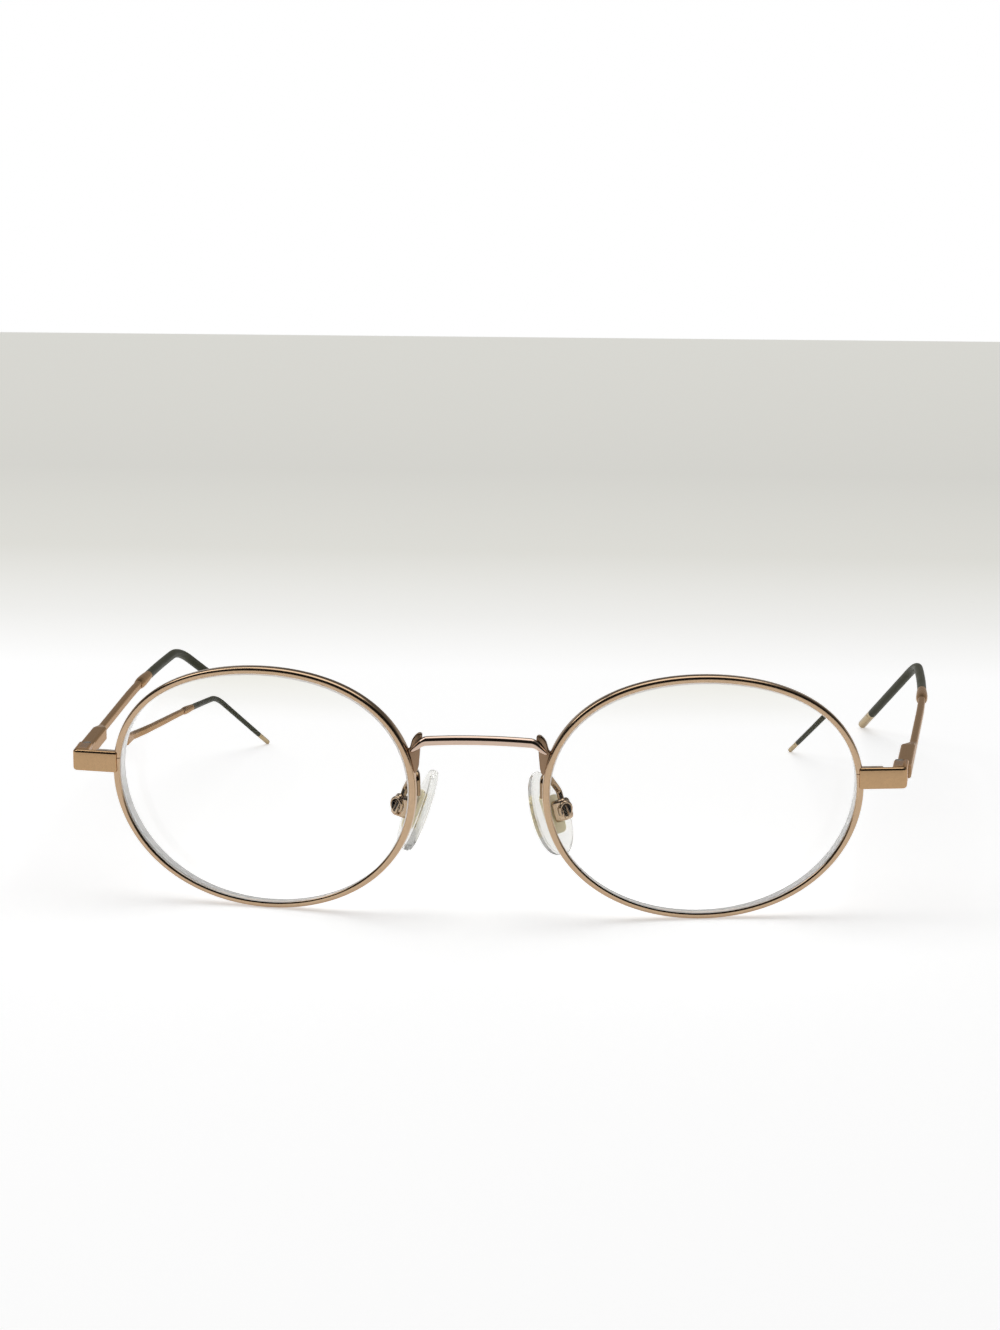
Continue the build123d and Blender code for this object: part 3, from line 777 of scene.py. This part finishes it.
@dataclass
class Bridge(SubAssembly):
    """The polished bridge: an arched wire that flares into a knob, with a fin under each end."""

    place: RimPlace = RimPlace()
    radius: float = 0.725
    height: float = 27.95
    arch: float = 0.52
    bow: float = 0.5
    set_back: float = 0.9
    around: int = 28
    middle_stations: int = 24
    flare: float = 1.3
    wire_end: tuple[tuple[float, float, float], ...] = (
        (-0.9, 0.0, 0.725), (-0.6, 0.05, 0.72), (-0.3, 0.17, 0.71), (0.0, 0.35, 0.70), (0.3, 0.56, 0.68),
        (0.58, 0.78, 0.63), (0.83, 0.98, 0.56), (1.07, 1.17, 0.46), (1.3, 1.33, 0.33), (1.45, 1.42, 0.18),
    )
    fin_inset: float = 0.75
    fin_depth: float = 0.95
    fin_set_back: float = 0.3
    fin_edge: float = 0.2
    fin_edge_steps: int = 3
    fin_sharp: float = 60.0
    fin_outline: tuple[tuple[float, float], ...] = (
        (0.70, -4.94), (1.3, -4.9), (2.3, -1.5), (1.95, -1.33), (1.62, -1.15), (1.48, -0.75),
        (1.36, -0.25), (1.2, 0.2), (0.95, 0.58), (0.70, 0.86), (0.42, 1.08), (0.14, 1.16),
        (-0.10, 1.10), (-0.24, 0.92), (-0.26, 0.5), (-0.14, -0.3), (0.04, -1.04), (0.14, -2.34),
        (0.27, -3.84), (0.44, -4.5),
    )

    def build(self) -> None:
        """Build the wire with its knobs, and a fin under each end."""
        mesh = finish_mesh(skin_rings(self.rings()), "bridge_wire", Side.LEFT)
        self.add("bridge_wire", mesh, "polished", "bridge", "bridge")
        for side in Side:
            fin = finish_mesh(self.fin(), f"bridge_fin_{side.value}", side, self.fin_sharp)
            self.add(f"bridge_fin_{side.value}", fin, "shaded", "bridge")

    @property
    def end_x(self) -> float:
        """Return where the wire begins to turn down."""
        return self.place.spacing / 2 - self.fin_inset

    @property
    def end_y(self) -> float:
        """Return how far back the wire's ends are."""
        return self.place.depth_at(self.end_x + self.flare, self.height - self.arch, self.set_back)

    def rings(self) -> list[list[Vector]]:
        """Lay the wire's rings from the wearer's right to the left.

        Returns:
            Each ring's points, in millimetres.
        """
        left = [(self.end_x + out, drop, radius) for out, drop, radius in self.wire_end]
        inner = left[0][0]
        stations = [(-x, drop, radius) for x, drop, radius in reversed(left)]
        for step in range(1, self.middle_stations):
            stations.append((inner * (2 * step / self.middle_stations - 1), 0.0, self.radius))
        stations += left
        span = self.end_x + self.flare
        rings = []
        for x, drop, radius in stations:
            share = min(x * x / (span * span), 1.0)
            back = self.end_y - self.bow * (1 - share)
            axis = Vector((x, back, self.height - self.arch * share - drop))
            circle = full_circle(self.around)
            rings.append([axis + Vector((0.0, y * radius, z * radius)) for y, z in circle])
        return rings

    def fin(self) -> bmesh.types.BMesh:
        """Build the left fin, a thin blade with a round ear above the wire and a taper down the rim.

        Returns:
            The mesh under construction.
        """
        level = self.height - self.arch * (self.end_x / (self.end_x + self.flare)) ** 2
        outline = [Vector((self.end_x + out, level + up)) for out, up in self.fin_outline]
        front = self.end_y + self.fin_set_back
        shell = rounded_slab(outline, -self.fin_depth, 0.0, self.fin_edge, self.fin_edge_steps)
        for vertex in shell.verts:
            flat = vertex.co.copy()
            vertex.co = Vector((flat.x, front - flat.z, flat.y))
        return shell


@dataclass
class Endpieces(SubAssembly):
    """The front plates, each turning the corner into the leg that holds the hinge."""

    place: RimPlace = RimPlace()
    height: float = 2.9
    drop: float = 0.35
    depth: float = 1.0
    overlap: float = 0.7
    proud: float = 0.35
    corner_radius: float = 0.9
    inner_radius: float = 0.5
    edge_radius: float = 0.42
    leg: float = 2.25
    hinge_reach: float = 5.28
    hinge_setback: float = 6.29
    splay: float = math.radians(3.9)
    barrel: float = 0.85
    slot_clearance: float = 0.08
    knuckle: float = 0.9
    shank_radius: float = 0.41
    head_radius: float = 0.64
    head_height: float = 0.4
    tip_share: float = 0.98
    slot_reach: float = 3.0
    overshoot: float = 1.0
    post_steps: int = 40
    corner_steps: int = 8
    edge_steps: int = 5

    def build(self) -> None:
        """Build both plates with their hinge forks, and dress the rest of the hinges."""
        for side in Side:
            self.build_plate(side)
        self.dress("hinge_rear", "temple")
        self.dress("hinge_screw", "steel")

    def hinge_point(self, across: float, back: float) -> Vector:
        """Find a plan point that is given from the left hinge's axis.

        Args:
            across: the distance outward.
            back: the distance back along the temple.

        Returns:
            The plan point.
        """
        centre = self.place.edge + Vector((self.hinge_reach, self.hinge_setback))
        return centre + Matrix.Rotation(-self.splay, 2) @ Vector((across, back))

    def crossing(self, start: Vector, along: Vector, other: Vector, other_along: Vector) -> Vector:
        """Find where two plan lines cross.

        Args:
            start: a point of the first line.
            along: its direction.
            other: a point of the second line.
            other_along: its direction.

        Returns:
            The crossing's plan point.
        """
        gap = other - start
        share = gap.cross(other_along) / along.cross(other_along)
        return start + along * share

    def outline(self) -> list[Vector]:
        """Draw the plan of the left plate and its leg.

        Returns:
            The outline's points, anticlockwise.
        """
        wrap = self.place.wrap
        along = Vector((math.cos(wrap), math.sin(wrap)))
        back = Vector((-math.sin(wrap), math.cos(wrap)))
        leg = Vector((math.sin(self.splay), math.cos(self.splay)))
        x = self.place.edge.x - self.overlap * math.cos(wrap)
        start = Vector((x, self.place.depth_at(x, self.place.level, -self.proud)))
        behind = start + back * self.depth
        outer = self.leg - self.barrel
        corners = [
            (start, 0.0),
            (self.crossing(start, along, self.hinge_point(outer, 0.0), leg), self.corner_radius),
            (self.hinge_point(outer, self.barrel), 0.0),
            (self.hinge_point(-self.barrel, self.barrel), self.barrel * self.tip_share),
            (self.crossing(behind, along, self.hinge_point(-self.barrel, 0.0), leg), self.inner_radius),
            (behind, 0.0),
        ]
        points = []
        for index, (corner, radius) in enumerate(corners):
            before = corners[index - 1][0]
            after = corners[(index + 1) % len(corners)][0]
            points += round_corner(before, corner, after, radius, self.corner_steps)
        return points

    def post(self, radius: float) -> list[Vector]:
        """Return the plan of a round cutter of this radius on the hinge's axis."""
        return [self.hinge_point(radius * x, radius * y) for x, y in full_circle(self.post_steps)]

    def slot(self) -> list[Vector]:
        """Draw the plan of the slot that the rear knuckle turns in.

        Returns:
            The slot's corners.
        """
        near = self.barrel + self.slot_clearance
        far = near * self.slot_reach
        corners = [(-far, -near), (near, -near), (near, far), (-far, far)]
        return [self.hinge_point(*corner) for corner in corners]

    def cutter(self, plan: Sequence[Vector], low: float, high: float, side: Side) -> bpy.types.Mesh:
        """Build an upright cutter on a plan outline.

        Args:
            plan: the outline's points, in order.
            low: the height of its lower end.
            high: the height of its upper end.
            side: the side that it is for.

        Returns:
            The cutter's mesh.
        """
        rings = [[Vector((spot.x, spot.y, height)) for spot in plan] for height in (low, high)]
        return finish_mesh(skin_rings(rings), "cutter", side)

    def build_plate(self, side: Side) -> None:
        """Build one plate with its leg and fork.

        Args:
            side: the side that the plate is on.
        """
        fork = self.place.level - self.height / 2
        low = fork - self.drop
        high = self.place.level + self.height / 2
        name = f"front_plate_{side.value}"
        slab = rounded_slab(self.outline(), low, high, self.edge_radius, self.edge_steps)
        above = high + self.overshoot
        mesh = cut_away(finish_mesh(slab, name, side), [
            self.cutter(self.slot(), fork + self.knuckle, high - self.knuckle, side),
            self.cutter(self.post(self.shank_radius), low - self.overshoot, above, side),
            self.cutter(self.post(self.head_radius), high - self.head_height, above, side),
        ])
        mesh.materials.clear()
        nodes = (f"endpiece_{side.value}", f"hinge_front_{side.value}")
        self.add(name, mesh, "plate", nodes[0], *nodes)


@dataclass
class Temples(SubAssembly):
    """The folding arms with their collars, sleeves and end caps."""

    def build(self) -> None:
        """Dress the arms and their tips."""
        self.dress("temple", "temple")
        self.dress("temple_collar", "temple")
        self.dress("tip_sleeve", "sleeve")
        self.dress("end_cap", "gold")


@dataclass
class Lenses(SubAssembly):
    """The clear lenses, polished on both faces and ground dull round the edge."""

    place: RimPlace = RimPlace()
    edge_share: float = 0.8

    def build(self) -> None:
        """Give both lenses a clear face and a ground edge."""
        for side in Side:
            self.build_lens(side)

    def build_lens(self, side: Side) -> None:
        """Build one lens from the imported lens's own surface, with its edge told apart.

        Args:
            side: the side that the lens is on.
        """
        node = f"lens_{side.value}"
        mesh = self.nodes[node].data.copy()
        mesh.name = f"lens_glass_{side.value}"
        mesh.materials.clear()
        mesh.materials.append(self.materials["lens"])
        mesh.materials.append(self.materials["ground"])
        forward = Vector((self.place.forward.x * side.sign, *self.place.forward.yz))
        for face in mesh.polygons:
            face.material_index = 0 if abs(face.normal.dot(forward)) > self.edge_share else 1
        self.add(f"lens_glass_{side.value}", mesh, "lens", node, node)


@dataclass
class NosePads(SubAssembly):
    """The soft pads with their cream cores, clamp boxes, screws and arms."""

    centre: Vector = field(default_factory=lambda: Vector((9.7, 7.8, 15.3)))
    lean: float = math.radians(21.0)
    left_splay: float = math.radians(29.0)
    right_splay: float = math.radians(16.0)
    box_low: float = 1.3
    box_width: float = 2.35
    box_depth: float = 2.0
    box_height: float = 3.4
    box_lift: float = 0.3
    box_corner: float = 0.6
    box_corner_steps: int = 6
    ring_fullness: float = 0.6
    # Each point is a height over the box's low end or under its high end, and an inset.
    box_cup: tuple[tuple[float, float], ...] = (
        (1.6, 0.50), (0.1, 0.48), (0.0, 0.38), (0.0, 0.14), (0.12, 0.02), (0.3, 0.0),
    )
    box_dish: tuple[tuple[float, float], ...] = ((0.5, 0.0), (0.28, 0.06), (0.1, 0.2), (0.0, 0.42))
    eye_centre: Vector = field(default_factory=lambda: Vector((3.15, -0.25, 0.3)))
    eye_turn: float = math.radians(60.0)
    eye_width: float = 1.12
    eye_height: float = 1.36
    eye_steps: int = 32
    # The first bands of the eye that take the painted shade inside the cup, then the painted highlight on
    # the pin.
    eye_recess: int = 7
    eye_pin: int = 11
    sharp: float = 50.0
    eye_profile: tuple[tuple[float, float], ...] = (
        (-0.9, 0.6), (-0.75, 0.86), (-0.4, 0.97), (0.2, 1.0), (0.42, 0.97), (0.55, 0.89), (0.59, 0.80),
        (0.54, 0.71), (0.40, 0.66), (0.0, 0.62), (-0.1, 0.56), (-0.1, 0.46), (0.1, 0.42), (0.26, 0.33),
        (0.34, 0.20), (0.36, 0.07),
    )

    def build(self) -> None:
        """Build the clamp boxes, and dress everything else that carries the nose."""
        for side in Side:
            self.build_box(side)
            self.build_eye(side)
        self.dress("nose_pad", "pad")
        self.dress("pad_insert", "cream")
        self.dress("pad_screw", "steel")
        self.dress("pad_arm", "wire")

    def loop(self, x: float, inset: float) -> list[Vector]:
        """Draw a rounded oblong ring of the box, in the pad's own frame.

        Args:
            x: how far out from the pad's middle.
            inset: how far inside the box's outline.

        Returns:
            The ring's points.
        """
        wide, tall = self.box_depth / 2 - inset, self.box_height / 2 - inset
        lower = [Vector((-wide, -tall)), Vector((wide, -tall))]
        corners = lower + [Vector((wide, tall)), Vector((-wide, tall))]
        radius = max(self.box_corner - inset, min(wide, tall) * self.ring_fullness)
        points = []
        for index, corner in enumerate(corners):
            after = corners[(index + 1) % len(corners)]
            points += round_corner(corners[index - 1], corner, after, radius, self.box_corner_steps)
        return [Vector((x, point.x, point.y + self.box_lift)) for point in points]

    def build_box(self, side: Side) -> None:
        """Build one clamp box: a rounded cup, open to the pad and dished on its outer side.

        Args:
            side: the side that the box is on.
        """
        low, high = self.box_low, self.box_low + self.box_width
        profile = [(low + over, inset) for over, inset in self.box_cup]
        profile += [(high - under, inset) for under, inset in self.box_dish]
        rings = [[self.pad_place(side) @ point for point in self.loop(x, inset)] for x, inset in profile]
        mesh = finish_mesh(skin_rings(rings), f"clamp_box_{side.value}", side, self.sharp)
        node = f"pad_box_{side.value}"
        self.add(f"clamp_box_{side.value}", mesh, "clasp", node, node)

    def pad_place(self, side: Side) -> Matrix:
        """Place one side's pad as it would stand on the left.

        Args:
            side: the side that the pad is on.

        Returns:
            The pad's frame.
        """
        splay = self.left_splay if side is Side.LEFT else self.right_splay
        turn = Matrix.Rotation(-splay, 4, "Z") @ Matrix.Rotation(-self.lean, 4, "Y")
        return Matrix.Translation(self.centre) @ turn

    def build_eye(self, side: Side) -> None:
        """Build the raised eye on the outer front of one box, a cup round a domed pin.

        Args:
            side: the side that the eye is on.
        """
        centre = self.pad_place(side) @ self.eye_centre
        across = Vector((math.sin(self.eye_turn), math.cos(self.eye_turn), 0.0))
        out = Vector((math.cos(self.eye_turn), -math.sin(self.eye_turn), 0.0))
        rings = []
        for ahead, share in self.eye_profile:
            ring = []
            for x, y in full_circle(self.eye_steps):
                wide = across * (self.eye_width * share * x)
                tall = Vector((0.0, 0.0, self.eye_height * share * y))
                ring.append(centre + out * ahead + wide + tall)
            rings.append(ring)
        mesh = finish_mesh(skin_rings(rings), f"box_eye_{side.value}", side, self.sharp)
        # Painted shade and highlight: faces from the eye_recess band on take a near-black finish inside the
        # cup, and faces from the eye_pin band on take a pale finish on the domed pin; the lip and the back
        # cap keep the clamp box's finish.
        for finish in ("clasp", "recess", "pin"):
            mesh.materials.append(self.materials[finish])
        for face in mesh.polygons:
            band = face.index // self.eye_steps
            face.material_index = sum(band >= first for first in (self.eye_recess, self.eye_pin))
        mesh.polygons[len(mesh.polygons) - 2].material_index = 0
        self.add(f"box_eye_{side.value}", mesh, "clasp", f"pad_box_{side.value}")


@dataclass(frozen=True)
class SoftBox:
    """A square area lamp, with its places and width in metres and its power in watts."""

    name: str
    at: Place
    aim: Place
    size: float
    power: float


@dataclass
class Studio:
    """The camera, the floor, the lamps and the pale surroundings."""

    focal_px: float = 3252.47
    frame_height_px: float = 1330.0
    sensor_mm: float = 36.0
    camera_mm: Place = (47.437, -544.602, 126.221)
    yaw: float = -0.0943420647
    pitch: float = 0.182480205
    roll: float = 0.00197118857
    floor_near_mm: float = -4000.0
    floor_far_mm: float = 985.0
    floor_half_mm: float = 3000.0
    fade_near_mm: float = 130.0
    paper_glow: float = 0.57
    # Painted light: extra glow of the far floor where it is seen through the lenses.
    lens_glow: float = 0.21
    paper_shade: Colour = (1.0, 0.993, 0.935)
    shade_from: float = 0.2
    front_ends: float = -0.2
    back_begins: float = 0.15
    # Painted shade: the floor's grey by distance back, near white in front, darker grey behind the glasses,
    # a little lighter at the far end.
    paper_stops: Stops = ((0.0, 0.88), (0.08, 0.765), (0.2, 0.65), (0.4, 0.61), (1.0, 0.73))
    front_stops: Stops = ((0.0, 0.03), (0.60, 0.01), (0.95, 0.03), (0.995, 0.7))
    back_stops: Stops = ((0.0, 0.5), (0.24, 0.48), (0.38, 0.12), (0.76, 0.14), (0.93, 0.8))
    boxes: tuple[SoftBox, ...] = (
        SoftBox("overhead_box", (0.0, 0.15, 1.1), (0.0, 0.0, 0.0), 1.1, 4.0),
        SoftBox("left_box", (-0.9, -0.1, 1.0), (0.0, 0.0, 0.02), 0.6, 2.45),
    )

    def build(self) -> None:
        """Build the whole studio."""
        self.build_camera()
        self.build_world()
        self.build_floor()
        self.build_lamps()

    def build_camera(self) -> None:
        """Place the camera where the photograph was taken from."""
        data = bpy.data.cameras.new("studio_camera")
        data.sensor_fit = "VERTICAL"
        data.sensor_height = self.sensor_mm
        data.lens = self.focal_px * self.sensor_mm / self.frame_height_px
        data.clip_start = 10 * MM
        data.clip_end = 100.0
        camera = place_object("studio_camera", data)
        level = math.cos(self.pitch)
        forward = Vector((math.sin(self.yaw) * level, math.cos(self.yaw) * level, -math.sin(self.pitch)))
        right = Vector((math.cos(self.yaw), -math.sin(self.yaw), 0.0))
        upward = right.cross(forward)
        turned = right * math.cos(self.roll) + upward * math.sin(self.roll)
        raised = upward * math.cos(self.roll) - right * math.sin(self.roll)
        axes = Matrix((turned, raised, -forward)).transposed().to_4x4()
        camera.matrix_world = Matrix.Translation(Vector(self.camera_mm) * MM) @ axes
        bpy.context.scene.camera = camera

    def build_world(self) -> None:
        """Light the scene as a room does: bright above, dim in front, pale behind, white where seen."""
        world = bpy.data.worlds.new("studio_surroundings")
        bpy.context.scene.world = world
        bpy.context.scene.view_settings.view_transform = "Standard"
        world.use_nodes = True
        world.node_tree.nodes.clear()
        tree = NodeTree(world.node_tree)
        place = tree.add("ShaderNodeTexCoord")
        split = tree.add("ShaderNodeSeparateXYZ", Vector=place.outputs["Generated"])
        front = self.ramp(tree, split.outputs["Z"], self.front_stops)
        back = self.ramp(tree, split.outputs["Z"], self.back_stops)
        turn = tree.add("ShaderNodeMapRange", Value=split.outputs["Y"])
        tree.fill(turn, "From Min", self.front_ends)
        tree.fill(turn, "From Max", self.back_begins)
        blend = tree.add("ShaderNodeMix", {"data_type": "RGBA"})
        tree.fill(blend, 0, turn.outputs[0])
        tree.fill(blend, 6, front)
        tree.fill(blend, 7, back)
        lit = tree.add("ShaderNodeBackground", Color=blend.outputs[2], Strength=1.0)
        seen = tree.add("ShaderNodeBackground", Color=(1.0, 1.0, 1.0, 1.0), Strength=1.0)
        path = tree.add("ShaderNodeLightPath").outputs
        shown = tree.math("MAXIMUM", path["Is Camera Ray"], path["Is Transmission Ray"])
        tree.add("ShaderNodeOutputWorld", Surface=tree.mix_shaders(shown, lit, seen))

    def ramp(self, tree: NodeTree, value: bpy.types.NodeSocket, stops: Stops) -> bpy.types.NodeSocket:
        """Turn a height into a grey by a few stops.

        Args:
            tree: the tree that gets the ramp.
            value: the height's output socket.
            stops: pairs of height and grey, lowest first.

        Returns:
            The ramp's colour output.
        """
        node = tree.add("ShaderNodeValToRGB", Fac=value)
        scale = node.color_ramp.elements
        while len(scale) < len(stops):
            scale.new(0.5)
        for element, (height, grey) in zip(scale, stops):
            element.position = height
            element.color = (grey, grey, grey, 1.0)
        return node.outputs[0]

    def build_floor(self) -> None:
        """Lay a wide pale floor that keeps the soft shadows."""
        half, near, far = (size * MM for size in (self.floor_half_mm, self.floor_near_mm, self.floor_far_mm))
        mesh = bpy.data.meshes.new("studio_floor")
        corners = [(-half, near, 0.0), (half, near, 0.0), (half, far, 0.0), (-half, far, 0.0)]
        mesh.from_pydata(corners, [], [(0, 1, 2, 3)])
        floor = place_object("studio_floor", mesh)
        material, tree, out = new_material("studio_floor_paper")
        place = tree.add("ShaderNodeTexCoord")
        split = tree.add("ShaderNodeSeparateXYZ", Vector=place.outputs["Object"])
        fade = tree.add("ShaderNodeMapRange", Value=split.outputs["Y"])
        tree.fill(fade, "From Min", self.fade_near_mm * MM)
        tree.fill(fade, "From Max", self.floor_far_mm * MM)
        # Painted shade: the floor grows greyer farther back by these stops.
        level = self.ramp(tree, fade.outputs[0], self.paper_stops)
        warm = tree.add("ShaderNodeMapRange", Value=fade.outputs[0])
        tree.fill(warm, "From Max", self.shade_from)
        shaded = tree.add("ShaderNodeMix", {"data_type": "RGBA", "blend_type": "MULTIPLY"})
        tree.fill(shaded, 0, warm.outputs[0])
        tree.fill(shaded, 6, level)
        tree.fill(shaded, 7, (*self.paper_shade, 1.0))
        tone = shaded.outputs[2]
        paper = tree.add("ShaderNodeBsdfDiffuse", Color=tone)
        glow = tree.add("ShaderNodeEmission", Color=tone)
        path = tree.add("ShaderNodeLightPath").outputs
        seen = tree.math("MAXIMUM", path["Is Camera Ray"], path["Is Glossy Ray"])
        shown = tree.math("MAXIMUM", seen, path["Is Transmission Ray"])
        plain = tree.math("MULTIPLY", shown, self.paper_glow)
        # Painted light: seen through the lenses, the floor past its near part glows brighter by lens_glow.
        bent = tree.math("MULTIPLY", path["Is Transmission Ray"], warm.outputs[0])
        tree.fill(glow, "Strength", tree.math("MULTIPLY_ADD", bent, self.lens_glow, plain))
        both = tree.add("ShaderNodeAddShader")
        tree.fill(both, 0, paper.outputs[0])
        tree.fill(both, 1, glow.outputs[0])
        tree.fill(out, "Surface", both.outputs[0])
        mesh.materials.append(material)

    def build_lamps(self) -> None:
        """Hang the soft boxes."""
        for box in self.boxes:
            data = bpy.data.lights.new(box.name, "AREA")
            data.size = box.size
            data.energy = box.power
            turn = (Vector(box.aim) - Vector(box.at)).to_track_quat("-Z", "Y")
            lamp = place_object(box.name, data)
            lamp.matrix_world = Matrix.Translation(Vector(box.at)) @ turn.to_matrix().to_4x4()


def main() -> None:
    """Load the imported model, build the studio and dress every piece."""
    logging.basicConfig(level=logging.INFO, format="%(name)s: %(message)s")
    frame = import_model()
    bodies = frame["record"]["behaviour"]["bodies"]
    surface = build_surface_group()
    finishes = Finishes()
    materials = {item.name: getattr(finishes, item.name).build(surface) for item in fields(finishes)}
    Studio().build()
    for kind in (Rims, Bridge, Endpieces, Temples, Lenses, NosePads):
        LOG.info("building the %s", kind.__name__)
        kind(frame["nodes"], bodies, finishes, materials).build()


if __name__ == "__main__":
    main()
